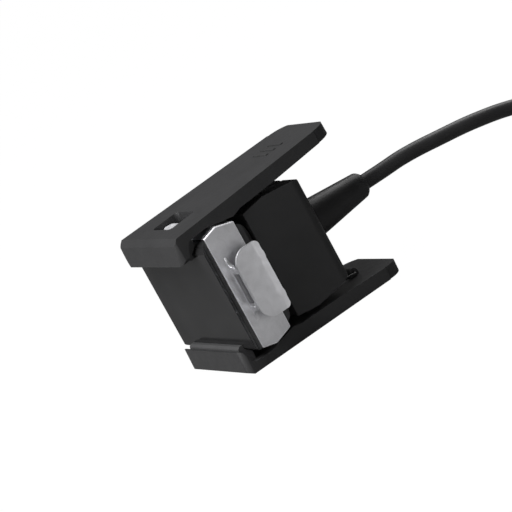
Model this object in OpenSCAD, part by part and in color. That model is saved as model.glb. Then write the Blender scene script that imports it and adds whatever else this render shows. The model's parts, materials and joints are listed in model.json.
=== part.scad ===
// Fitness tracker module held in a spring clip charger with its USB lead.
// Clip frame: X runs from the jaw tips to the handles, Z = 0 is the middle of the tracker.
// seat() tips the clip so that the lower arm lies flat on Z = 0.

/* [Tracker] */
// Width of the tracker from side to side, the size that the jaws grip
tracker_w = 21.4; // [21:0.1:22]
// Depth of the metal frame, front to back
frame_d = 6.05; // [5.8:0.05:6.2]
// Length of the metal frame over its two end plates
frame_l = 19.8; // [19:0.1:20.4]
// Length of the front glass
glass_l = 25; // [24:0.1:26]
// Height of the front glass and its bezel in front of the frame
front_d = 2.25; // [2.1:0.05:2.3]
// Length of a band lug, across the tracker
lug_l = 12.2; // [11:0.1:13]
// How far a band lug stands out from its end plate
lug_out = 2.8; // [2.4:0.1:3.2]
// Height of the side button above the frame's crest
button_h = 1.3; // [0.8:0.1:1.4]

/* [Clip arms] */
// Reach of the upper jaw tip in front of the metal frame
upper_tip = 5.5; // [5.3:0.05:6]
// Reach of the lower jaw tip in front of the metal frame
lower_tip = 4.35; // [4.2:0.05:5]
// Reach of the handles behind the front of the metal frame
handle_back = 30.5; // [29:0.1:32]
// Width of an arm at the front of the metal frame
arm_w = 19.4; // [19:0.1:20]
// Narrowing of an arm on each side, per millimetre towards the handle
arm_taper = 0.074; // [0.05:0.001:0.08]
// Thickness of an arm over the tracker
jaw_t = 1.6; // [1.5:0.05:1.7]
// Thickness of an arm over the hub
mid_t = 2.45; // [2.3:0.05:2.5]
// Thickness of an arm at the end of the handle
end_t = 2.1; // [2:0.05:2.2]
// Height of the hooked lip under the arm's outer face
lip_h = 4.3; // [4.2:0.05:4.4]
// Angle at which each arm spreads towards the handle, in degrees
flare = 2.46; // [2.3:0.02:2.6]

/* [Hub] */
// Front face of the hub
hub_x = 8.6; // [8.6:0.05:8.8]
// Rear face of the hub
hub_end = 20.7; // [20:0.1:20.9]
// Width of the hub
hub_w = 17.3; // [17:0.1:17.5]
// Half height of the hub at its ridge
hub_z = 10.05; // [10:0.01:10.1]
// Wall of the hub
hub_wall = 1.2; // [1:0.1:1.3]

/* [Hinges and springs] */
// Distance of the hinge pins behind the front of the metal frame
pivot_x = 12.9; // [12.8:0.05:13]
// Height of the hinge pins above and below the middle
pivot_z = 8.6; // [8.55:0.01:8.62]
// Radius of a hinge pin
pin_r = 0.6; // [0.5:0.05:0.6]
// Running clearance of a knuckle on its pin
pin_gap = 0.05; // [0.03:0.01:0.08]
// Diameter of the spring wire
wire_d = 0.4; // [0.35:0.05:0.4]

/* [Cable] */
// Diameter of the cable
cable_d = 2.7; // [2.5:0.1:2.8]
// Length of the strain relief
relief_l = 13.8; // [13:0.1:15]

/* [Hidden] */

$fn = 48;
big = 80;

// Seat of the clip frame on the surface
seat_x = 12.695;
outer_z = tracker_w / 2 + 2.075;
seat_z = outer_z * cos(flare);

// Tracker
crest_x = 2.67;
crest_z = tracker_w / 2;
frame_front_z = crest_z - 0.7;
frame_back_z = crest_z - 0.94;
plate_t = 0.9;
frame_wall = 0.8;
glass_z = 8.65;
glass_t = 0.9;
bezel_z = 9.55;
back_x = 8.3;
back_flat_z = 6;
lug_t = 0.45;
lug_x = 1.5;
lug_back = 6.6;
lug_web_z = 3.9;
lug_slot_z = 2.75;
button_x = 1.1;
button_w = 1.9;
button_l = 6;

// Arms
window_x = 1.35;
window_l = 5.3;
window_w = 6.5;
end_round = 3.6;
tip_round = 1.5;
lip_round = 1;
knuckle_y = 4.2;
knuckle_w = 1.5;
knuckle_r = 1.25;
ring_x = 24;
ring_h = 0.65;
ring_r = 0.85;
ring_y = [-2.3, -0.3];
grip_x = 22;

// Springs and pins
coil_y = 3.1;
leg_y = -2.85;
pitch_z = 2.5;
pin_row_y = 5.2;
barrel_r = 0.75;
plunger_r = 0.45;
pin_stroke = 0.6;

// Hub
hub_half = hub_w / 2;
hub_front_z = 9.45;
hub_rear_z = 9.05;
cavity_z = 6.2;
pocket_y = 6.1;

// Route of the cable from the hub through the strain relief to the hank
route = [[8, 0, 13.6], [14.5, 0, 13.9], [21, 0, 14.2], [26, 0, 14.3], [31, 0, 14.4],
    [39, 0, 13.8], [47, 0, 12.9], [55, 0, 11.3], [60, -1.1, 9.8], [65, -4.2, 7.7],
    [70, -8.6, 5.3], [75, -12.1, 3.2], [80, -13.6, 1.9], [84, -13.7, 1.65]];
// Hank of two oval turns: its middle, its straight runs and the radius of its end loops
hank_x = 90.5;
tie_x = 88.5;
hank_run = 13;
fold_out = 13.7;
fold_in = 8.1;
hank_lift = 0.3;
// Route of the cable from the hank over its end loops to the plug
tail = [[84, -8.1, 1.65], [92, -8.1, 1.65], [94.5, -8.1, 2.1], [97.5, -8.1, 3.2],
    [101, -8.1, 4.3], [105, -8, 4.9], [110, -8, 5.1], [113, -8, 5.1], [116, -8, 5]];
plug_x = 115.5;
plug_y = -8;
plug_lift = 1;
plug_l = 22;
plug_w = 15.6;
plug_h = 8;
usb_l = 18.75;
usb_w = 12;
usb_h = 4.5;
usb_t = 0.3;

// Placement helpers
module seat() {
    translate([-seat_x, 0, seat_z]) rotate([0, -flare, 0]) children();
}

module arm_frame() {
    translate([0, 0, outer_z]) rotate([0, -flare, 0]) children();
}

module along_y(length) {
    rotate([90, 0, 0]) linear_extrude(length, center = true) children();
}

module flip() {
    mirror([0, 0, 1]) children();
}

module rod_y(r, y0, y1) {
    translate([0, y0, 0]) rotate([-90, 0, 0]) cylinder(h = y1 - y0, r = r);
}

module rod_x(r, x0, x1) {
    translate([x0, 0, 0]) rotate([0, 90, 0]) cylinder(h = x1 - x0, r = r);
}

module span_x(x0, x1, y, z) {
    translate([x0, -y / 2, -z / 2]) cube([x1 - x0, y, z]);
}

module rounded_rect(x, y, r) {
    square([x - 2 * r, y], center = true);
    square([x, y - 2 * r], center = true);
    for (sx = [-1, 1], sy = [-1, 1]) {
        translate([sx * (x / 2 - r), sy * (y / 2 - r)]) circle(r);
    }
}

function mirrored(points) =
    concat(points, [for (i = [len(points) - 1:-1:0]) [points[i][0], -points[i][1]]]);

// Arms: outer face at Z = 0 of the arm's own frame, the lip hooks down in front
module arm_side(tip, slope, bevel) {
    along_y(big) polygon([[slope + 0.95 - tip, 0], [handle_back - 0.4, 0],
        [handle_back, -0.4], [handle_back, 0.4 - end_t], [handle_back - 0.5, -end_t],
        [16.4, -mid_t], [8.4, -mid_t], [6.6, -mid_t - 0.4], [2.9, -jaw_t - 0.4],
        [1.4, -jaw_t], [-2.2, -jaw_t], [-2.9, -jaw_t - 0.6], [-3.4, 1 - lip_h],
        [-3.6, 0.4 - lip_h], [-4, -lip_h], [-tip, -lip_h], [slope - tip, -bevel]]);
}

// What a rounded corner takes away; the corner is at the origin, between -X and -Y
module corner(r) {
    translate([-r, -r]) difference() {
        square(2 * r);
        circle(r);
    }
}

module arm_plan(tip) {
    end_y = arm_w / 2 - arm_taper * handle_back;
    tip_y = arm_w / 2 + arm_taper * tip;
    translate([0, 0, -2 * lip_h]) linear_extrude(3 * lip_h) difference() {
        polygon([[-tip, -tip_y], [handle_back, -end_y], [handle_back, end_y], [-tip, tip_y]]);
        for (side = [0, 1]) {
            mirror([0, side]) {
                translate([handle_back, end_y]) corner(end_round);
                translate([-tip, tip_y]) mirror([1, 0]) corner(tip_round);
            }
        }
    }
}

// Rounds the free corners of the lip, seen from the front
module lip_corners(tip) {
    for (side = [0, 1]) {
        mirror([0, side, 0]) translate([-3, arm_w / 2 + arm_taper * tip, -lip_h]) {
            rotate([0, -90, 0]) linear_extrude(tip) mirror([1, 0]) corner(lip_round);
        }
    }
}

module arm_blade(tip, slope, bevel) {
    arm_frame() difference() {
        intersection() {
            arm_side(tip, slope, bevel);
            arm_plan(tip);
        }
        lip_corners(tip);
    }
}

module knuckles() {
    for (s = [-1, 1]) {
        translate([pivot_x, s * (knuckle_y + knuckle_w / 2), pivot_z]) {
            rod_y(knuckle_r, -knuckle_w / 2, knuckle_w / 2);
            translate([-knuckle_r, -knuckle_w / 2, 0]) cube([2 * knuckle_r, knuckle_w, 2.9]);
        }
    }
}

module knuckle_bores() {
    translate([pivot_x, 0, pivot_z]) rod_y(pin_r + pin_gap, -hub_half, hub_half);
}

// Eye behind the hub that takes the end of the spring's leg
module spring_eye() {
    arm_frame() translate([ring_x, 0, -end_t - ring_h]) difference() {
        union() {
            rod_y(ring_r, ring_y[0], ring_y[1]);
            translate([-ring_r, ring_y[0], 0]) {
                cube([2 * ring_r, ring_y[1] - ring_y[0], ring_h + 0.3]);
            }
        }
        rod_y(0.3, ring_y[0] - 1, ring_y[1] + 1);
    }
}

module grip_bars() {
    arm_frame() for (i = [-1:1]) {
        translate([grip_x + 1.6 * i, 0, 0]) {
            translate([-0.3, -2.2, -0.2]) cube([0.6, 4.4, 0.35]);
        }
    }
}

module arm_solid(tip, slope, bevel) {
    difference() {
        union() {
            arm_blade(tip, slope, bevel);
            knuckles();
            spring_eye();
        }
        knuckle_bores();
        pad_seat();
    }
}

module window_cut() {
    translate([window_x, 0, crest_z - 2]) linear_extrude(6) rounded_rect(window_l, window_w, 0.8);
}

// The jaw pad fills a pocket in the arm and lies along the frame's rear slope
module pad_seat() {
    along_y(15.2) polygon([[2.9, crest_z], [6.1, frame_back_z + 0.05],
        [6.1, frame_back_z + 1], [3.1, crest_z + 0.85]]);
}

module upper_arm() {
    color("#2b2b2d") seat() {
        difference() {
            arm_solid(upper_tip, 0.55, 0.9);
            window_cut();
        }
        grip_bars();
    }
}

module lower_arm() {
    color("#2b2b2d") seat() flip() arm_solid(lower_tip, 0.1, 0.6);
}

module jaw_pad() {
    difference() {
        pad_seat();
        translate([window_x, 0, crest_z - 2]) {
            linear_extrude(6) square([window_l + 0.2, window_w + 0.4], center = true);
        }
    }
}

module upper_jaw_pad() {
    color("#1a1a1a") seat() jaw_pad();
}

module lower_jaw_pad() {
    color("#1a1a1a") seat() flip() jaw_pad();
}

// Soft strip that fills the lip up to the chamfered edge of the glass
module lip_pad() {
    gap = 0.05;
    difference() {
        arm_frame() along_y(17) polygon([[-3.6, 0.4 - lip_h], [-3.4, 1 - lip_h],
            [-2.9, -jaw_t - 0.6], [-2.2, -jaw_t], [-1.3, -jaw_t], [-1.3, -lip_h - 0.4],
            [-3.1, -lip_h - 0.4], [-3.5, -lip_h - 0.1]]);
        along_y(18) polygon([[-front_d - gap, 0], [-front_d - gap, glass_z + gap],
            [-1.2, bezel_z + 1.5 * gap], [0, frame_front_z], [0, 0]]);
    }
}

module upper_lip_pad() {
    color("#202020") seat() difference() {
        lip_pad();
        window_cut();
    }
}

module lower_lip_pad() {
    color("#202020") seat() flip() lip_pad();
}

// Torsion spring: close wound coil on the pin, a leg along the arm hooked into the eye
module torsion_spring() {
    coil_r = pin_r + 0.35 + wire_d / 2;
    eye_x = ring_x + (end_t + ring_h) * sin(flare);
    eye_z = outer_z + ring_x * sin(flare) - (end_t + ring_h) * cos(flare);
    rise = atan2(eye_z - pivot_z - coil_r, eye_x - pivot_x);
    reach = norm([eye_z - pivot_z - coil_r, eye_x - pivot_x]);
    translate([pivot_x, 0, pivot_z]) {
        difference() {
            rod_y(coil_r + wire_d / 2, -coil_y, coil_y);
            rod_y(coil_r - wire_d / 2, -coil_y - 1, coil_y + 1);
        }
        translate([0, leg_y, coil_r]) rotate([0, -rise, 0]) {
            rod_x(wire_d / 2, 0, reach + wire_d / 2);
            translate([reach, 0, 0]) rod_y(wire_d / 2, 0, 1.6);
        }
        translate([0, -leg_y, 0]) rotate([0, 215, 0]) {
            translate([0, 0, coil_r]) rod_x(wire_d / 2, 0, 0.85);
        }
    }
}

module upper_spring() {
    color("#b8babd") seat() torsion_spring();
}

module lower_spring() {
    color("#b8babd") seat() flip() torsion_spring();
}

module hinge_pin() {
    translate([pivot_x, 0, pivot_z]) rod_y(pin_r, 0.9 - hub_half, hub_half - 0.2);
}

module upper_hinge_pin() {
    color("#c4c6c9") seat() hinge_pin();
}

module lower_hinge_pin() {
    color("#c4c6c9") seat() flip() hinge_pin();
}

// Hub: one shell open at the front, roof-shaped above and below
module hub_block() {
    intersection() {
        along_y(hub_w) polygon(mirrored([[hub_x, hub_front_z], [pivot_x, hub_z],
            [16.8, hub_front_z + 0.1], [hub_end - 0.6, hub_rear_z], [hub_end, hub_rear_z - 0.7]]));
        hub_plan();
    }
}

module hub_plan() {
    r = 2.2;
    translate([0, 0, -big / 2]) linear_extrude(big) {
        translate([hub_x, -hub_half]) square([hub_end - hub_x - r, hub_w]);
        translate([hub_x, r - hub_half]) square([hub_end - hub_x, hub_w - 2 * r]);
        for (s = [-1, 1]) {
            translate([hub_end - r, s * (hub_half - r)]) circle(r);
        }
    }
}

// Room for the knuckles, the coil and both legs of one spring
module hinge_pocket() {
    translate([pivot_x - 1.7, -pocket_y, pivot_z - 1.65]) cube([3.6, 2 * pocket_y, 5]);
    translate([pivot_x, leg_y - 0.6, pivot_z - 0.5]) cube([9, 1.2, 5]);
    translate([pivot_x, 0, pivot_z]) rod_y(pin_r, 0.9 - hub_half, hub_half + 1);
}

module hub_shell() {
    color("#232325") seat() difference() {
        hub_block();
        span_x(hub_x - 1, hub_x + 1.6, hub_w - 2 * hub_wall, 2 * cavity_z + 1.2);
        span_x(hub_x, hub_end - hub_wall, hub_w - 2 * hub_wall - 1, 2 * cavity_z);
        rod_x(cable_d / 2, hub_end - 3, hub_end + 1);
        hinge_pocket();
        flip() hinge_pocket();
    }
}

module at_pins() {
    for (i = [0:3]) {
        translate([0, pin_row_y, (i - 1.5) * pitch_z]) children();
    }
}

module at_screws() {
    for (s = [-1, 1]) {
        translate([0, -6.2, s * 5]) children();
    }
}

module contact_plate() {
    color("#1d1d1f") seat() difference() {
        span_x(hub_x + 0.1, hub_x + 1.6, hub_w - 2 * hub_wall - 0.1, 2 * cavity_z + 1.1);
        at_pins() rod_x(barrel_r, hub_x - 1, hub_x + 3);
        at_screws() rod_x(0.45, hub_x - 1, hub_x + 3);
        at_screws() rod_x(0.85, hub_x - 1, hub_x + 0.6);
    }
}

module plate_screws() {
    color("#9a9ca0") seat() at_screws() {
        rod_x(0.8, hub_x + 0.15, hub_x + 0.6);
        rod_x(0.4, hub_x + 0.6, hub_x + 3.6);
    }
}

module pin_barrels() {
    color("#c9a24a") seat() at_pins() difference() {
        rod_x(barrel_r, hub_x + 0.1, hub_x + 4);
        rod_x(plunger_r + 0.05, hub_x, hub_x + 3.6);
    }
}

module pin_springs() {
    color("#b8babd") seat() at_pins() rotate([0, 90, 0]) {
        translate([0, 0, hub_x + 2.2 + pin_stroke]) rotate_extrude() {
            translate([0.22, 0]) square([0.12, 0.75]);
        }
    }
}

// Sprung contact pin: its tip meets the tracker's contact
module contact_pin(i) {
    color("#d4af57") seat() translate([0, pin_row_y, (i - 2.5) * pitch_z]) {
        rod_x(plunger_r, back_x + 0.05 + plunger_r, hub_x + 2.15);
        translate([back_x + 0.05 + plunger_r, 0, 0]) sphere(plunger_r, $fn = 32);
    }
}

module hub_board() {
    color("#1f5a35") seat() {
        span_x(hub_x + 4, hub_x + 4.8, hub_w - 2 * hub_wall - 1.4, 2 * cavity_z - 0.6);
        translate([0, -2.5, 1.5]) span_x(hub_x + 4.8, hub_x + 5.7, 3, 3);
        translate([0, 3, -2.5]) span_x(hub_x + 4.8, hub_x + 5.4, 1.6, 0.9);
    }
}

module strain_relief() {
    color("#202022") seat() difference() {
        translate([hub_end, 0, 0]) rotate([0, 90, 0]) {
            cylinder(h = relief_l - 0.6, r1 = 3.6, r2 = 2.3);
            translate([0, 0, relief_l - 0.6]) cylinder(h = 0.6, r1 = 2.3, r2 = 1.8);
        }
        rod_x(cable_d / 2, hub_end - 1, hub_end + relief_l + 1);
    }
}

// A tube swept along a list of points, square to the route at each of them
function along(path, i) =
    path[min(i + 1, len(path) - 1)] - path[max(i - 1, 0)];

function ring_at(path, i, r, n) =
    let (t = along(path, i) / norm(along(path, i)),
        side = cross([0, 0, 1], t) / norm(cross([0, 0, 1], t)),
        up = cross(t, side))
    [for (k = [0:n - 1]) path[i] + r * (cos(360 * k / n) * side + sin(360 * k / n) * up)];

module tube(path, r, n = 8) {
    rings = len(path);
    points = [for (i = [0:rings - 1]) each ring_at(path, i, r, n)];
    walls = [for (i = [0:rings - 2], k = [0:n - 1])
        [i * n + k, i * n + (k + 1) % n, (i + 1) * n + (k + 1) % n, (i + 1) * n + k]];
    ends = [[for (k = [n - 1:-1:0]) k], [for (k = [0:n - 1]) (rings - 1) * n + k]];
    polyhedron(points, concat(walls, ends));
}

module cable_lead() {
    color("#1c1c1e") tube(route, cable_d / 2);
}

module cable_tail() {
    color("#1c1c1e") tube(tail, cable_d / 2);
}

module oval(r) {
    square([hank_run, 2 * r], center = true);
    for (side = [-1, 1]) {
        translate([side * hank_run / 2, 0]) circle(r);
    }
}

module cable_hank() {
    color("#1c1c1e") translate([hank_x, 0, hank_lift]) linear_extrude(cable_d) difference() {
        oval(fold_out + cable_d / 2);
        oval(fold_in - cable_d / 2);
    }
}

module cable_tie() {
    wide = 2 * fold_out + cable_d;
    strap = 0.3;
    color("#141414") translate([tie_x, 0, hank_lift + cable_d / 2]) {
        rotate([90, 0, 90]) linear_extrude(5, center = true) difference() {
            square([wide + 2 * strap, cable_d + 2 * strap], center = true);
            square([wide, cable_d], center = true);
        }
    }
}

module at_plug() {
    translate([plug_x, plug_y, plug_h / 2 + plug_lift]) children();
}

module usb_overmould() {
    color("#1e1e20") at_plug() difference() {
        rotate([0, 90, 0]) linear_extrude(plug_l) rounded_rect(plug_h, plug_w, 2);
        span_x(plug_l - 3, plug_l + 1, usb_w, usb_h);
    }
}

module usb_shell() {
    color("#c8cacd") at_plug() difference() {
        span_x(plug_l - 3, plug_l + usb_l, usb_w, usb_h);
        span_x(plug_l - 2, plug_l + usb_l + 1, usb_w - 2 * usb_t, usb_h - 2 * usb_t);
        for (y = [-2.75, 2.75]) {
            translate([plug_l + 12.5, y, 0]) cube([2.5, 2.5, big], center = true);
        }
    }
}

module usb_tongue() {
    color("#e8e8e6") at_plug() translate([0, 0, 1]) {
        span_x(plug_l - 2, plug_l + usb_l - 0.6, usb_w - 2 * usb_t - 0.1, 1.84);
    }
}

module usb_contacts() {
    color("#d4af57") at_plug() for (i = [-1.5:1.5]) {
        translate([0, i * 2.2, -0.04]) span_x(plug_l + 8, plug_l + usb_l - 1.2, 1, 0.24);
    }
}

// Tracker: front glass and bezel narrow towards the frame at both ends
module front_outline() {
    intersection() {
        along_y(big) polygon(mirrored([[-front_d, glass_z], [-1.2, bezel_z],
            [0, frame_front_z]]));
        linear_extrude(big, center = true) {
            polygon(mirrored([[-front_d, glass_l / 2], [0, frame_l / 2]]));
        }
    }
}

module display_glass() {
    color("#0a0a0c") seat() intersection() {
        front_outline();
        span_x(-front_d - 1, glass_t - front_d, big, big);
    }
}

module display_panel() {
    color("#101318") seat() span_x(glass_t - front_d, 1.3 - front_d, 15, 14);
}

module front_bezel() {
    color("#161618") seat() difference() {
        intersection() {
            front_outline();
            span_x(glass_t - front_d, 0, big, big);
        }
        span_x(glass_t - front_d - 1, 1.3 - front_d + 0.05, 15.2, 14.2);
        span_x(-0.5, 1, 16, 16);
    }
}

module frame_outline(length) {
    along_y(length) polygon(mirrored([[0, frame_front_z], [crest_x, crest_z],
        [frame_d, frame_back_z]]));
}

module button_slot(gap) {
    translate([button_x, 0, 0]) {
        translate([0, 0, crest_z - 2.2]) linear_extrude(4) {
            rounded_rect(button_w + 2 * gap, button_l + 2 * gap, 0.9);
        }
    }
}

module frame_ring() {
    inner = frame_l - 2 * plate_t;
    color("#b4b6b8") seat() difference() {
        frame_outline(inner);
        span_x(-1, frame_d + 1, inner - 1.2, 2 * (frame_back_z - frame_wall));
        button_slot(0.1);
    }
}

module end_plate() {
    translate([0, plate_t / 2 - frame_l / 2, 0]) frame_outline(plate_t);
}

module end_plate_near() {
    color("#b9bbbd") seat() end_plate();
}

module end_plate_far() {
    color("#b9bbbd") seat() mirror([0, 1, 0]) end_plate();
}

// Band lug: a slotted web stands on the end plate and carries a D-shaped tab
module band_lug() {
    out_y = -frame_l / 2 - lug_out;
    difference() {
        translate([lug_x, out_y + lug_t, -lug_web_z]) cube([lug_t, lug_out - lug_t, 2 * lug_web_z]);
        translate([lug_x - 1, out_y + lug_t + 0.2, -lug_slot_z]) {
            cube([3, lug_out - lug_t - 0.7, 2 * lug_slot_z]);
        }
    }
    translate([0, out_y + lug_t, 0]) rotate([90, 0, 0]) linear_extrude(lug_t) lug_outline();
}

module lug_outline() {
    front_r = 2.6;
    back_r = 0.8;
    half = lug_l / 2;
    translate([lug_x + front_r, -half]) square([lug_back - lug_x - front_r - back_r, lug_l]);
    translate([lug_x, front_r - half]) square([lug_back - lug_x, lug_l - 2 * front_r]);
    translate([lug_back - 2 * back_r, back_r - half]) square([2 * back_r, lug_l - 2 * back_r]);
    for (s = [-1, 1]) {
        translate([lug_x + front_r, s * (half - front_r)]) circle(front_r);
        translate([lug_back - back_r, s * (half - back_r)]) circle(back_r);
    }
}

module band_lug_near() {
    color("#c2c4c6") seat() band_lug();
}

module band_lug_far() {
    color("#c2c4c6") seat() mirror([0, 1, 0]) band_lug();
}

module side_button() {
    color("#c8cacd") seat() intersection() {
        button_slot(0);
        span_x(-1, crest_x, big, 2 * (crest_z + button_h));
    }
}

module button_switch() {
    color("#8f9194") seat() translate([button_x, 0, crest_z - 3.1]) {
        translate([-0.9, -1.5, 0]) cube([1.8, 3, 0.3]);
        cylinder(h = 0.5, r = 0.6);
    }
}

// Back cover: a shallow tray with a rounded back
module back_cover() {
    color("#18181a") seat() difference() {
        intersection() {
            along_y(frame_l - 0.8) polygon(mirrored([[frame_d, frame_back_z - 0.7],
                [frame_d + 0.9, frame_back_z - 1.1], [frame_d + 1.7, frame_back_z - 2],
                [back_x - 0.1, back_flat_z + 0.6], [back_x, back_flat_z]]));
            linear_extrude(big, center = true) polygon(mirrored([[frame_d, frame_l / 2 - 0.4],
                [frame_d + 1.2, frame_l / 2 - 0.8], [back_x, frame_l / 2 - 2]]));
        }
        span_x(frame_d - 1, frame_d + 1, frame_l - 4, 15);
        rod_x(2.6, frame_d, back_x + 1);
        at_pins() rod_x(0.85, frame_d, back_x + 1);
    }
}

module back_seal() {
    outer = 2 * (frame_back_z - frame_wall) - 0.1;
    long = frame_l - 2 * plate_t - 1.3;
    color("#2a2a2a") seat() difference() {
        span_x(frame_d - 0.6, frame_d, long, outer);
        span_x(frame_d - 1, frame_d + 1, long - 1.2, outer - 1.2);
    }
}

module sensor_window() {
    color("#101014") seat() rod_x(2.6, back_x - 0.75, back_x);
}

module sensor_leds() {
    color("#7ec27e") seat() for (s = [-1, 1]) {
        translate([0, s * 1.2, 0]) span_x(back_x - 1.15, back_x - 0.8, 0.9, 0.9);
    }
}

module charge_contacts() {
    color("#d4af57") seat() at_pins() rod_x(0.85, back_x - 1, back_x);
}

module battery() {
    color("#a8abad") seat() translate([0, -1.2, 0]) span_x(2.9, 5.6, 11, 13);
}

module main_board() {
    color("#1f5a35") seat() span_x(1.5, 2.3, 15.5, 14.4);
}

module vibration_motor() {
    color("#b0b2b4") seat() translate([0, 6.3, 0]) rotate([0, 90, 0]) {
        translate([0, 0, 2.6]) cylinder(h = 2.6, r = 1.7);
    }
}

upper_arm();
lower_arm();
upper_jaw_pad();
lower_jaw_pad();
upper_lip_pad();
lower_lip_pad();
upper_spring();
lower_spring();
upper_hinge_pin();
lower_hinge_pin();
hub_shell();
contact_plate();
plate_screws();
pin_barrels();
pin_springs();
contact_pin(1);  // contact_pin_1
contact_pin(2);  // contact_pin_2
contact_pin(3);  // contact_pin_3
contact_pin(4);  // contact_pin_4
hub_board();
strain_relief();
cable_lead();
cable_hank();
cable_tail();
cable_tie();
usb_overmould();
usb_shell();
usb_tongue();
usb_contacts();
display_glass();
display_panel();
front_bezel();
frame_ring();
end_plate_near();
end_plate_far();
band_lug_near();
band_lug_far();
side_button();
button_switch();
back_cover();
back_seal();
sensor_window();
sensor_leds();
charge_contacts();
battery();
main_board();
vibration_motor();
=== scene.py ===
import json
import math

import bmesh
import bpy
from mathutils import Matrix, Vector

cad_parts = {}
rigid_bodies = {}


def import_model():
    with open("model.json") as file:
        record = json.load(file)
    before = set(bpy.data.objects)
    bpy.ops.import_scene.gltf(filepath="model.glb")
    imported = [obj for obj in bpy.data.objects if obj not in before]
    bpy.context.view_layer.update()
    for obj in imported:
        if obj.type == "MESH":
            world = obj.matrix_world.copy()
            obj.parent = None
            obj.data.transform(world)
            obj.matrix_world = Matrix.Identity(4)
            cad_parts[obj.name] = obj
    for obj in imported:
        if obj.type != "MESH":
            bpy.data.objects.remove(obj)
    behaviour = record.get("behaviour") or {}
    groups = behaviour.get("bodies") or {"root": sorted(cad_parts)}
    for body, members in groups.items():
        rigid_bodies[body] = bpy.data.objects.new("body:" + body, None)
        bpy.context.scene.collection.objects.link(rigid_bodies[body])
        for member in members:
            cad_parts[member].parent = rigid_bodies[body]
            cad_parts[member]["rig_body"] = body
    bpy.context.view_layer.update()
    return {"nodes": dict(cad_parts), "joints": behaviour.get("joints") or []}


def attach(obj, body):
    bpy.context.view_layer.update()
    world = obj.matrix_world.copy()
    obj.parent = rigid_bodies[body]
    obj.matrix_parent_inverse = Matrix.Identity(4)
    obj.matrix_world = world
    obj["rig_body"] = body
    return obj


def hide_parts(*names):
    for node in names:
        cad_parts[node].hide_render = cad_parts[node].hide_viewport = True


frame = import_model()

MM = 0.001

# ------------------------------------------------------------------ the clip's frame
# The clip's own frame, in millimetres: +X along the hub to the handles, +Y across,
# +Z from the lower hinge pin to the upper one, and the origin in the tracker's middle.
PIVOT_X = 12.9
PIVOT_Z = 8.6

joints = {joint["name"]: joint for joint in frame["joints"]}
upper_pivot = Vector(joints["upper_jaw"]["pos_m"])
lower_pivot = Vector(joints["lower_jaw"]["pos_m"])
clip_up = (upper_pivot - lower_pivot).normalized()
clip_across = Vector((0, 1, 0))
clip_ahead = clip_across.cross(clip_up)
turn = Matrix((clip_ahead, clip_across, clip_up)).transposed().to_4x4()
shift = Matrix.Translation((upper_pivot + lower_pivot) / 2 - clip_ahead * PIVOT_X * MM)
SEAT = shift @ turn @ Matrix.Scale(MM, 4)
FLIP = Matrix.Scale(-1, 4, (0, 0, 1))


def from_clip(point):
    return SEAT @ Vector(point)


def clip_direction(direction):
    return (turn @ Vector(direction)).normalized()


# ------------------------------------------------------------------ camera
def make_camera():
    """A long lens, low over the clip's near side; its place is in the clip's frame."""
    eye = (-142.64, -334.44, 92.95)
    ahead = (0.4050, 0.8811, -0.2442)
    right = (0.7489, -0.4729, -0.4643)
    data = bpy.data.cameras.new("camera")
    data.lens = 164.97
    data.sensor_width = 36
    data.clip_start, data.clip_end = 0.01, 20
    camera = bpy.data.objects.new("camera", data)
    bpy.context.scene.collection.objects.link(camera)
    back = -clip_direction(ahead)
    side = clip_direction(right)
    side = (side - back * side.dot(back)).normalized()
    camera.matrix_world = Matrix((side, back.cross(side), back)).transposed().to_4x4()
    camera.matrix_world.translation = from_clip(eye)
    bpy.context.scene.camera = camera


make_camera()


# ------------------------------------------------------------------ making pieces
SAME_AS_FACES = -1       # a bevel's material index: that of the faces beside it
JOIN_WITHIN = 0.002      # copied corners closer than this, in millimetres, are one
FLAT_WITHIN = 0.6        # faces that meet at less than this, in degrees, are one


def add_piece(name, data, body, materials):
    """Adds a mesh or a curve to the scene as a piece that rides on a body."""
    piece = bpy.data.objects.new(name, data)
    bpy.context.scene.collection.objects.link(piece)
    for material in materials:
        data.materials.append(material)
    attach(piece, body)
    return piece


def soften(piece, width, segments=3, angle=25, edge_material=SAME_AS_FACES):
    """Rounds a piece's hard edges and keeps its flat faces flat."""
    bevel = piece.modifiers.new("rounding", "BEVEL")
    bevel.width = width * MM
    bevel.segments = segments
    bevel.limit_method = "ANGLE"
    bevel.angle_limit = math.radians(angle)
    bevel.miter_outer = "MITER_ARC"
    bevel.material = edge_material
    bevel.use_clamp_overlap = True
    for polygon in piece.data.polygons:
        polygon.use_smooth = True
    normals = piece.modifiers.new("normals", "WEIGHTED_NORMAL")
    normals.keep_sharp = True
    normals.weight = 80


def copied_mesh(node):
    """A CAD node's mesh with its split corners joined and its flat faces made whole."""
    mesh = bmesh.new()
    mesh.from_mesh(frame["nodes"][node].data)
    bmesh.ops.remove_doubles(mesh, verts=mesh.verts, dist=JOIN_WITHIN * MM)
    bmesh.ops.dissolve_limit(mesh, angle_limit=math.radians(FLAT_WITHIN), verts=mesh.verts,
                             edges=mesh.edges)
    return mesh


def mesh_from(name, mesh):
    data = bpy.data.meshes.new(name)
    mesh.to_mesh(data)
    mesh.free()
    return data


def body_of(node):
    return frame["nodes"][node]["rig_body"]


def finished(node, width, materials, segments=3, angle=25, shape=None):
    """A rounded piece that stands for a CAD node. shape may change the copied mesh first."""
    mesh = copied_mesh(node)
    if shape:
        shape(mesh)
    data = mesh_from(node + "_fine", mesh)
    piece = add_piece(node + "_fine", data, body_of(node), materials)
    soften(piece, width, segments, angle, len(materials) - 1 or SAME_AS_FACES)
    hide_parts(node)
    return piece


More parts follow.
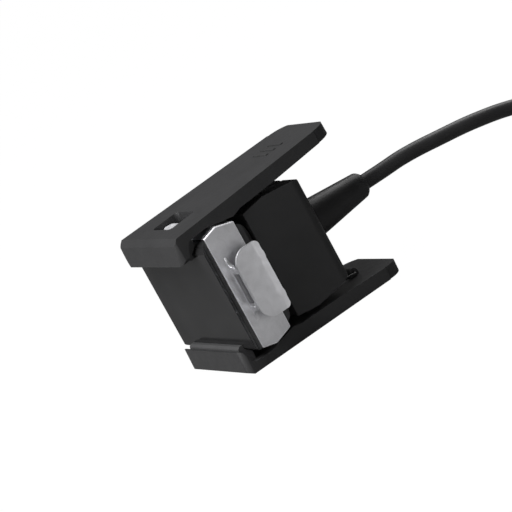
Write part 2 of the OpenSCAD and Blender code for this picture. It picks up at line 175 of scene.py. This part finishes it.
def wire(name, points, radius, body, materials, smooth=False):
    """A round wire or cable along points in the row frame, in metres."""
    data = bpy.data.curves.new(name, "CURVE")
    data.dimensions = "3D"
    data.bevel_depth = radius
    data.bevel_resolution = 5
    data.use_fill_caps = True
    if smooth:
        data.resolution_u = 8
        spline = data.splines.new("BEZIER")
        spline.bezier_points.add(len(points) - 1)
        for knot, point in zip(spline.bezier_points, points):
            knot.co = point
            knot.handle_left_type = knot.handle_right_type = "AUTO"
    else:
        spline = data.splines.new("POLY")
        spline.points.add(len(points) - 1)
        for knot, point in zip(spline.points, points):
            knot.co = (*point, 1)
        spline.use_smooth = True
    return add_piece(name, data, body, materials)


# ------------------------------------------------------------------ materials
class Finish:
    """A procedural material: a Principled shader and the textures that feed it."""

    def __init__(self, name, roughness=0.5, metallic=0.0, specular=0.5, ior=1.5):
        self.material = bpy.data.materials.new(name)
        self.material.use_nodes = True
        self.tree = self.material.node_tree
        self.shader = self.tree.nodes["Principled BSDF"]
        self.shader.inputs["Roughness"].default_value = roughness
        self.shader.inputs["Metallic"].default_value = metallic
        self.shader.inputs["Specular IOR Level"].default_value = specular
        self.shader.inputs["IOR"].default_value = ior
        self.place = self.add("ShaderNodeTexCoord").outputs["Object"]
        self.bumps = []

    def add(self, kind, **settings):
        node = self.tree.nodes.new(kind)
        for key, value in settings.items():
            setattr(node, key, value)
        return node

    def link(self, output, socket):
        self.tree.links.new(output, socket)

    def noise(self, size, detail=2.0, stretch=(1, 1, 1), roughness=0.5, distortion=0.0):
        """Noise whose features are about size millimetres, longer along stretched axes."""
        mapping = self.add("ShaderNodeMapping")
        mapping.inputs["Scale"].default_value = [1 / (size * MM * s) for s in stretch]
        self.link(self.place, mapping.inputs["Vector"])
        noise = self.add("ShaderNodeTexNoise")
        noise.inputs["Scale"].default_value = 1
        noise.inputs["Detail"].default_value = detail
        noise.inputs["Roughness"].default_value = roughness
        noise.inputs["Distortion"].default_value = distortion
        self.link(mapping.outputs["Vector"], noise.inputs["Vector"])
        return noise.outputs["Fac"]

    def cells(self, size, feature="F1", stretch=(1, 1, 1)):
        mapping = self.add("ShaderNodeMapping")
        mapping.inputs["Scale"].default_value = [1 / (size * MM * s) for s in stretch]
        self.link(self.place, mapping.inputs["Vector"])
        voronoi = self.add("ShaderNodeTexVoronoi", feature=feature)
        voronoi.inputs["Scale"].default_value = 1
        self.link(mapping.outputs["Vector"], voronoi.inputs["Vector"])
        return voronoi.outputs["Distance"]

    def spread(self, value, low, high, start=0.3, end=0.7):
        """Maps a texture's value from start..end to low..high."""
        node = self.add("ShaderNodeMapRange")
        node.inputs["From Min"].default_value = start
        node.inputs["From Max"].default_value = end
        node.inputs["To Min"].default_value = low
        node.inputs["To Max"].default_value = high
        self.link(value, node.inputs["Value"])
        return node.outputs["Result"]

    def colours(self, value, stops):
        """Colours along a texture's value, from (position, (r, g, b)) stops."""
        ramp = self.add("ShaderNodeValToRGB")
        elements = ramp.color_ramp.elements
        while len(elements) < len(stops):
            elements.new(0.5)
        for element, (position, colour) in zip(elements, stops):
            element.position = position
            element.color = (*colour, 1)
        self.link(value, ramp.inputs["Fac"])
        self.link(ramp.outputs["Color"], self.shader.inputs["Base Color"])

    def rough(self, value, low, high, start=0.3, end=0.7):
        self.link(self.spread(value, low, high, start, end), self.shader.inputs["Roughness"])

    def bump(self, value, height, strength=1.0):
        """Raises the surface by up to height millimetres where value is high."""
        node = self.add("ShaderNodeBump")
        node.inputs["Distance"].default_value = height * MM
        node.inputs["Strength"].default_value = strength
        self.link(value, node.inputs["Height"])
        if self.bumps:
            self.link(self.bumps[-1], node.inputs["Normal"])
        self.bumps.append(node.outputs["Normal"])
        self.link(node.outputs["Normal"], self.shader.inputs["Normal"])


def grey(level):
    return (level, level, level * 1.03)


def moulded(name, level, roughness, grain=0.09, height=0.004, specular=0.5):
    """Matte moulded plastic: a fine grain, faint cloudiness and uneven gloss."""
    finish = Finish(name, roughness, specular=specular)
    cloud = finish.noise(4, detail=3)
    finish.colours(cloud, [(0.3, grey(level * 0.93)), (0.7, grey(level * 1.07))])
    finish.rough(finish.noise(1.2, detail=4), roughness - 0.04, roughness + 0.05)
    finish.bump(finish.noise(grain, detail=3, roughness=0.6), height)
    finish.bump(finish.noise(6, detail=1), 0.01)
    return finish.material


def metal(name, level, roughness, mottle=0.12, grain=0.05, height=0.002,
          stretch=(1, 1, 1)):
    """Metal with a fine blasted or drawn grain and faint stains."""
    finish = Finish(name, roughness, metallic=1.0)
    stains = finish.noise(2.2, detail=5, roughness=0.62, distortion=0.6)
    finish.colours(stains, [(0.28, grey(level * (1 - mottle))), (0.5, grey(level)),
                            (0.74, grey(level * (1 + mottle)))])
    finish.rough(finish.noise(0.9, detail=5), roughness - 0.06, roughness + 0.08)
    finish.bump(finish.noise(grain, detail=3, stretch=stretch), height)
    return finish.material


def make_materials():
    """Every material of the part, by its slot's name where it has one."""
    found = {}
    found["clip_plastic"] = moulded("clip_plastic", 0.021, 0.46, specular=0.22)
    found["hub_plastic"] = moulded("hub_plastic", 0.016, 0.48, specular=0.25)
    found["grip_rubber"] = moulded("grip_rubber", 0.03, 0.72, grain=0.15, height=0.004,
                                   specular=0.25)
    found["plug_plastic"] = moulded("plug_plastic", 0.016, 0.48, height=0.002)
    found["bezel_plastic"] = moulded("bezel_plastic", 0.01, 0.4, grain=0.06, height=0.001,
                                     specular=0.3)
    found["back_plastic"] = moulded("back_plastic", 0.025, 0.42, grain=0.06, height=0.002)
    found["case_metal"] = metal("case_metal", 0.7, 0.4)
    # the rounded edges of the case and the lugs get a nearly white painted highlight
    found["case_edge_highlight"] = painted_highlight_edge("case_edge_highlight")
    found["lug_steel"] = metal("lug_steel", 0.8, 0.36, mottle=0.07, stretch=(1, 1, 6))
    found["lug_edge_highlight"] = painted_highlight_edge("lug_edge_highlight")
    found["button_metal"] = metal("button_metal", 0.75, 0.55, mottle=0.03)
    found["spring_steel"] = blackened()
    found["pin_steel"] = metal("pin_steel", 0.55, 0.2, stretch=(1, 10, 1))
    found["plug_steel"] = metal("plug_steel", 0.6, 0.24, mottle=0.05)
    found["gold_plate"] = gold()
    found["cable_jacket"] = jacket()
    found["cover_glass"] = glass()
    found["display_panel"] = panel()
    found["sensor_glass"] = lens()
    found["sensor_led"] = led()
    found["circuit_board"] = board()
    found["battery_foil"] = foil()
    found["tongue_plastic"] = moulded("tongue_plastic", 0.72, 0.4, height=0.001)
    return found


def gold():
    """Gold plating with slightly darker worn spots."""
    finish = Finish("gold_plate", 0.25, metallic=1.0)
    finish.colours(finish.noise(0.5, detail=4), [(0.3, (0.72, 0.5, 0.2)),
                                                 (0.7, (0.86, 0.64, 0.3))])
    finish.rough(finish.noise(0.3, detail=4), 0.18, 0.34)
    finish.bump(finish.noise(0.04, detail=2), 0.001)
    return finish.material


def painted_highlight_edge(name):
    """Rounded edge of a stamped metal part, painted nearly white as a highlight, and glossier
    than its faces.
    """
    finish = Finish(name, 0.45, metallic=0.6, specular=0.6)
    # painted highlight: a near-white colour that makes the rims look lit
    finish.colours(finish.noise(1.5, detail=3), [(0.3, grey(0.93)), (0.7, grey(0.97))])
    finish.rough(finish.noise(0.8, detail=3), 0.4, 0.5)
    finish.bump(finish.noise(0.4, detail=1), 0.0002)
    return finish.material


def blackened():
    """Blackened spring wire: dark, with worn streaks along it."""
    finish = Finish("spring_steel", 0.4, specular=0.4)
    finish.colours(finish.noise(0.8, detail=4, stretch=(4, 1, 1)), [(0.35, grey(0.012)),
                                                                   (0.75, grey(0.03))])
    finish.rough(finish.noise(0.5, detail=4), 0.34, 0.5)
    finish.bump(finish.noise(0.08, detail=2), 0.001)
    return finish.material


def jacket():
    """Extruded cable jacket: satin, with faint drag lines along it."""
    finish = Finish("cable_jacket", 0.42, specular=0.25)
    finish.colours(finish.noise(3, detail=3), [(0.3, grey(0.014)), (0.7, grey(0.018))])
    finish.rough(finish.noise(0.8, detail=4, stretch=(5, 1, 1)), 0.38, 0.46)
    finish.bump(finish.noise(0.5, detail=2), 0.0012)
    return finish.material


def glass():
    """Black cover glass: polished, with faint smears."""
    finish = Finish("cover_glass", 0.12, specular=0.12)
    finish.colours(finish.noise(8, detail=2), [(0.3, grey(0.010)), (0.7, grey(0.014))])
    finish.rough(finish.noise(5, detail=5, distortion=0.8), 0.08, 0.16)
    finish.bump(finish.noise(9, detail=1), 0.002)
    return finish.material


def panel():
    """Dark display: a fine net of pixels that are switched off."""
    finish = Finish("display_panel", 0.2)
    finish.colours(finish.cells(0.12), [(0.0, (0.004, 0.005, 0.007)),
                                        (1.0, (0.02, 0.024, 0.03))])
    finish.rough(finish.noise(2, detail=3), 0.15, 0.3)
    return finish.material


def lens():
    """Tinted window over the sensor."""
    finish = Finish("sensor_glass", 0.08)
    finish.colours(finish.noise(2, detail=2), [(0.3, (0.006, 0.006, 0.009)),
                                               (0.7, (0.012, 0.011, 0.016))])
    finish.rough(finish.noise(2.5, detail=5), 0.05, 0.14)
    return finish.material


def led():
    """Green sensor LEDs, off."""
    finish = Finish("sensor_led", 0.2)
    finish.colours(finish.cells(0.4), [(0.0, (0.45, 0.75, 0.42)), (1.0, (0.18, 0.45, 0.2))])
    finish.rough(finish.noise(0.3, detail=3), 0.15, 0.3)
    return finish.material


def board():
    """Solder mask over a net of copper tracks."""
    finish = Finish("circuit_board", 0.35)
    tracks = finish.cells(1.1, feature="DISTANCE_TO_EDGE")
    finish.colours(tracks, [(0.0, (0.05, 0.2, 0.09)), (0.08, (0.05, 0.2, 0.09)),
                            (0.1, (0.012, 0.09, 0.04))])
    finish.rough(finish.noise(0.8, detail=4), 0.3, 0.45)
    finish.bump(tracks, 0.01)
    return finish.material


def foil():
    """Crinkled foil pouch of the battery."""
    finish = Finish("battery_foil", 0.35, metallic=1.0)
    finish.colours(finish.noise(1.8, detail=5), [(0.3, grey(0.5)), (0.7, grey(0.68))])
    finish.rough(finish.noise(0.7, detail=5), 0.28, 0.45)
    finish.bump(finish.noise(1.3, detail=4, distortion=1.2), 0.03)
    return finish.material


LOOK = make_materials()

# ------------------------------------------------------------------ cable
# Route of the cable, in millimetres: from the hub to the hank, its two oval turns, and
# from there over the end loops to the plug
LEAD = [(8, 0, 13.6), (14.5, 0, 13.9), (21, 0, 14.2), (26, 0, 14.3), (31, 0, 14.4),
        (39, 0, 13.8), (47, 0, 12.9), (55, 0, 11.3), (60, -1.1, 9.8), (65, -4.2, 7.7),
        (70, -8.6, 5.3), (75, -12.1, 3.2), (80, -13.6, 1.9), (84, -13.7, 1.65)]
TAIL = [(84, -8.1, 1.65), (92, -8.1, 1.65), (94.5, -8.1, 2.1), (97.5, -8.1, 3.2),
        (101, -8.1, 4.3), (105, -8, 4.9), (110, -8, 5.1), (113, -8, 5.1), (116, -8, 5)]
HANK_X, HANK_Z, HANK_RUN = 90.5, 1.65, 13
FOLD_OUT, FOLD_IN, LAPS = 13.7, 8.1, 2
CABLE_R = 1.35


def hank_points():
    """End loops of the hank: half circles whose radius shrinks by one cable each lap."""
    per_fold = 12        # points on each half circle
    steps = 2 * LAPS * per_fold
    points = []
    for fold in range(2 * LAPS):
        end = HANK_X + (HANK_RUN / 2 if fold % 2 == 0 else -HANK_RUN / 2)
        for i in range(per_fold + 1):
            done = fold * per_fold + i
            around = math.pi * (done / per_fold - 0.5)
            radius = FOLD_OUT + (FOLD_IN - FOLD_OUT) * done / steps
            points.append((end + radius * math.cos(around), radius * math.sin(around), HANK_Z))
    return points[:-1]


def make_cable():
    route = [Vector(point) * MM for point in [*LEAD, *hank_points(), *TAIL]]
    cable = wire("usb_cable", route, CABLE_R * MM, "hub",
                 [LOOK["cable_jacket"]], smooth=True)
    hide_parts("cable_lead", "cable_hank", "cable_tail")
    return cable


cable = make_cable()

# ------------------------------------------------------------------ clip
ARM = [LOOK["clip_plastic"]]
for side in ("upper", "lower"):
    finished(side + "_arm", 0.22, ARM)
    finished(side + "_jaw_pad", 0.1, [LOOK["grip_rubber"]])
    finished(side + "_lip_pad", 0.08, [LOOK["grip_rubber"]])
    finished(side + "_hinge_pin", 0.12, [LOOK["pin_steel"]])


def spring_path():
    """Torsion spring: a leg in the arm's eye, the close wound coil, a short leg in the hub."""
    wire_d, coil_r, half = 0.4, 1.15, 2.85
    leg_y, hub_leg, eye_bend = -half, 0.85, 1.6
    eye = Vector((24.12, leg_y, 11.05))
    top = Vector((PIVOT_X, leg_y, PIVOT_Z + coil_r))
    points = [eye + Vector((0, eye_bend, 0)), eye, top]
    turns = 14
    steps = turns * 20
    end_angle = math.radians(215)
    total = math.tau * turns + end_angle
    for i in range(1, steps + 1):
        around = total * i / steps
        points.append(Vector((PIVOT_X + coil_r * math.sin(around), leg_y + 2 * half * i / steps,
                              PIVOT_Z + coil_r * math.cos(around))))
    along = Vector((math.cos(end_angle), 0, -math.sin(end_angle)))
    points.append(points[-1] + along * hub_leg)
    return points, wire_d / 2


def make_springs():
    points, radius = spring_path()
    for side, place in (("upper", SEAT), ("lower", SEAT @ FLIP)):
        node = side + "_spring"
        spring = wire(node + "_wire", [place @ point for point in points], radius * MM,
                      body_of(node), [LOOK["spring_steel"]])
        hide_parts(node)


make_springs()

finished("hub_shell", 0.3, [LOOK["hub_plastic"]])
finished("contact_plate", 0.1, [LOOK["hub_plastic"]])
finished("plate_screws", 0.05, [LOOK["pin_steel"]])
finished("pin_barrels", 0.05, [LOOK["gold_plate"]])
finished("hub_board", 0.05, [LOOK["circuit_board"]])
finished("strain_relief", 0.3, [LOOK["cable_jacket"]])
for i in range(1, 5):
    finished(f"contact_pin_{i}", 0.03, [LOOK["gold_plate"]])
spring_materials = frame["nodes"]["pin_springs"].data.materials
spring_materials.clear()
spring_materials.append(LOOK["spring_steel"])

# ------------------------------------------------------------------ plug
overmould = finished("usb_overmould", 0.8, [LOOK["plug_plastic"]])
shell = finished("usb_shell", 0.12, [LOOK["plug_steel"]])
tongue = finished("usb_tongue", 0.1, [LOOK["tongue_plastic"]])
contacts = finished("usb_contacts", 0.04, [LOOK["gold_plate"]])
tie = finished("cable_tie", 0.12, [LOOK["grip_rubber"]])

# ------------------------------------------------------------------ tracker
PLATE_Y, TAB_Y = 9.9, 12.25             # the end plate's face and the tab's inner face
BEND_X, BEND_SLOPE = 5.45, 0.2          # where the tab's rear edge starts to lean out
WEB_X, WEB_Z = (1.44, 2.01), 3.85       # the web's two faces and half its length
FOOT_L, FOOT_H = 1.9, 1.5               # the web's flare along the plate and up the web
DOME_Z, DOME_ROOM = 8.05, 0.03          # what lies above it is lowered by this much


def make_lug(side, outward):
    """Stamped band lug: its tab's rear edge is bent out, and its web flares to the plate."""
    # the second metal is a nearly white painted highlight on the tab's rounded rims
    metals = [LOOK["lug_steel"], LOOK["lug_edge_highlight"]]

    def bend_rear_edge(mesh):
        everything = [*mesh.verts, *mesh.edges, *mesh.faces]
        bmesh.ops.bisect_plane(mesh, geom=everything, plane_co=from_clip((BEND_X, 0, 0)),
                               plane_no=clip_direction((1, 0, 0)))
        to_clip = SEAT.inverted()
        rims = mesh.edges.layers.float.new("bevel_weight_edge")
        for edge in mesh.edges:
            on_tab = all(abs((to_clip @ vert.co).y) > TAB_Y - 0.01 for vert in edge.verts)
            if on_tab and edge.calc_face_angle(0) > math.radians(35):
                edge[rims] = 1
        for vert in mesh.verts:
            x = (to_clip @ vert.co).x
            if x > BEND_X + 0.01:
                rise = (x - BEND_X) * BEND_SLOPE * outward
                vert.co += SEAT.to_3x3() @ Vector((0, rise, 0))

    tab = finished("band_lug_" + side, 0.19, metals, shape=bend_rear_edge)
    tab.modifiers["rounding"].limit_method = "WEIGHT"
    feet = add_piece("lug_feet_" + side, mesh_from("lug_feet_" + side, web_feet(outward)), "hub",
                     metals[:1])
    soften(feet, 0.15, 3, 40)
    return tab, feet


def web_feet(outward):
    """The two ends of the lug's web: flat plates with a concave edge down to the end plate."""
    mesh = bmesh.new()
    arc, inside, sunk = 10, WEB_Z - 0.7, -0.1
    for end in (-1, 1):
        outline = [(inside, sunk), (WEB_Z + FOOT_L, sunk)]
        for i in range(arc + 1):
            around = math.pi / 2 * i / arc
            outline.append((WEB_Z + FOOT_L * (1 - math.sin(around)),
                            FOOT_H * (1 - math.cos(around))))
        outline.append((inside, FOOT_H))
        front, back = ([mesh.verts.new(from_clip((x, outward * (PLATE_Y + up), end * z)))
                        for z, up in outline] for x in WEB_X)
        mesh.faces.new(front)
        mesh.faces.new(back)
        for k in range(len(outline)):
            following = (k + 1) % len(outline)
            mesh.faces.new((front[k], front[following], back[following], back[k]))
    bmesh.ops.recalc_face_normals(mesh, faces=mesh.faces)
    return mesh


def lower_dome(mesh):
    """Leaves a hair of room between the switch's dome and the pressed button."""
    to_clip = SEAT.inverted()
    for vert in mesh.verts:
        if (to_clip @ vert.co).z > DOME_Z:
            vert.co -= clip_direction((0, 0, 1)) * DOME_ROOM * MM


finished("display_glass", 0.18, [LOOK["cover_glass"]])
finished("display_panel", 0.05, [LOOK["display_panel"]])
finished("front_bezel", 0.1, [LOOK["bezel_plastic"]])
# the ring's and the end plates' rounded edges take the nearly white painted highlight
finished("frame_ring", 0.08, [LOOK["case_metal"], LOOK["case_edge_highlight"]])
for side, outward in (("near", -1), ("far", 1)):
    finished("end_plate_" + side, 0.2, [LOOK["case_metal"], LOOK["case_edge_highlight"]], segments=2)
    make_lug(side, outward)
finished("side_button", 0.15, [LOOK["button_metal"]])
finished("button_switch", 0.05, [LOOK["pin_steel"]], shape=lower_dome)
finished("back_cover", 0.35, [LOOK["back_plastic"]])
finished("back_seal", 0.05, [LOOK["grip_rubber"]])
finished("sensor_window", 0.1, [LOOK["sensor_glass"]])
finished("sensor_leds", 0.05, [LOOK["sensor_led"]])
finished("charge_contacts", 0.05, [LOOK["gold_plate"]])
finished("battery", 0.4, [LOOK["battery_foil"]])
finished("main_board", 0.05, [LOOK["circuit_board"]])
finished("vibration_motor", 0.1, [LOOK["pin_steel"]])


# ------------------------------------------------------------------ stage
def make_floor():
    """A large square in the plane that the clip lies on."""
    data = bpy.data.meshes.new("floor")
    side = 3.0
    corners = [(-side, -side, 0), (side, -side, 0), (side, side, 0), (-side, side, 0)]
    data.from_pydata(corners, [], [(0, 1, 2, 3)])
    floor = bpy.data.objects.new("floor", data)
    bpy.context.scene.collection.objects.link(floor)
    floor.data.materials.append(floor_paint())


def floor_paint():
    """Pale floor, lit from within so that it reads white, with a faint contact shadow."""
    material = bpy.data.materials.new("floor")
    material.use_nodes = True
    tree = material.node_tree
    tree.nodes.clear()
    path = tree.nodes.new("ShaderNodeLightPath")
    glow = tree.nodes.new("ShaderNodeEmission")
    glow.inputs["Color"].default_value = (1, 1, 1, 1)
    glow.inputs["Strength"].default_value = 1.03
    paint = tree.nodes.new("ShaderNodeBsdfDiffuse")
    paint.inputs["Color"].default_value = (0.15, 0.15, 0.15, 1)
    both = tree.nodes.new("ShaderNodeMixShader")
    share = tree.nodes.new("ShaderNodeMath")
    share.operation = "MULTIPLY"
    share.inputs[1].default_value = 0.97
    out = tree.nodes.new("ShaderNodeOutputMaterial")
    tree.links.new(path.outputs["Is Camera Ray"], share.inputs[0])
    tree.links.new(share.outputs[0], both.inputs["Fac"])
    tree.links.new(paint.outputs[0], both.inputs[1])
    tree.links.new(glow.outputs[0], both.inputs[2])
    tree.links.new(both.outputs[0], out.inputs["Surface"])
    return material


def make_world():
    """White to the eye, dim to everything else, so that the lights shape the object."""
    world = bpy.data.worlds.new("studio")
    bpy.context.scene.world = world
    world.use_nodes = True
    tree = world.node_tree
    tree.nodes.clear()
    path = tree.nodes.new("ShaderNodeLightPath")
    strength = tree.nodes.new("ShaderNodeMapRange")
    strength.inputs["To Min"].default_value = 0.08
    strength.inputs["To Max"].default_value = 1.05
    background = tree.nodes.new("ShaderNodeBackground")
    background.inputs["Color"].default_value = (1, 1, 1, 1)
    out = tree.nodes.new("ShaderNodeOutputWorld")
    tree.links.new(path.outputs["Is Camera Ray"], strength.inputs["Value"])
    tree.links.new(strength.outputs["Result"], background.inputs["Strength"])
    tree.links.new(background.outputs[0], out.inputs["Surface"])


def softbox(name, place, size, power):
    """A square area light, placed in the clip's frame, that points at the tracker."""
    data = bpy.data.lights.new(name, "AREA")
    data.shape = "RECTANGLE"
    data.size, data.size_y = (side * MM for side in size)
    data.energy = power
    light = bpy.data.objects.new(name, data)
    bpy.context.scene.collection.objects.link(light)
    light.location = from_clip(place)
    light.rotation_mode = "QUATERNION"
    aim = from_clip((8, 0, 0)) - light.location
    light.rotation_quaternion = aim.to_track_quat("-Z", "Y")


make_floor()
make_world()
softbox("key_light", (-160, -40, 330), (260, 260), 2.9)
softbox("front_light", (-330, -60, 60), (220, 260), 1.7)
softbox("side_light", (-40, -340, 20), (300, 200), 0.33)
softbox("rear_light", (260, 120, 220), (200, 200), 0.5)
bpy.context.scene.view_settings.view_transform = "Standard"
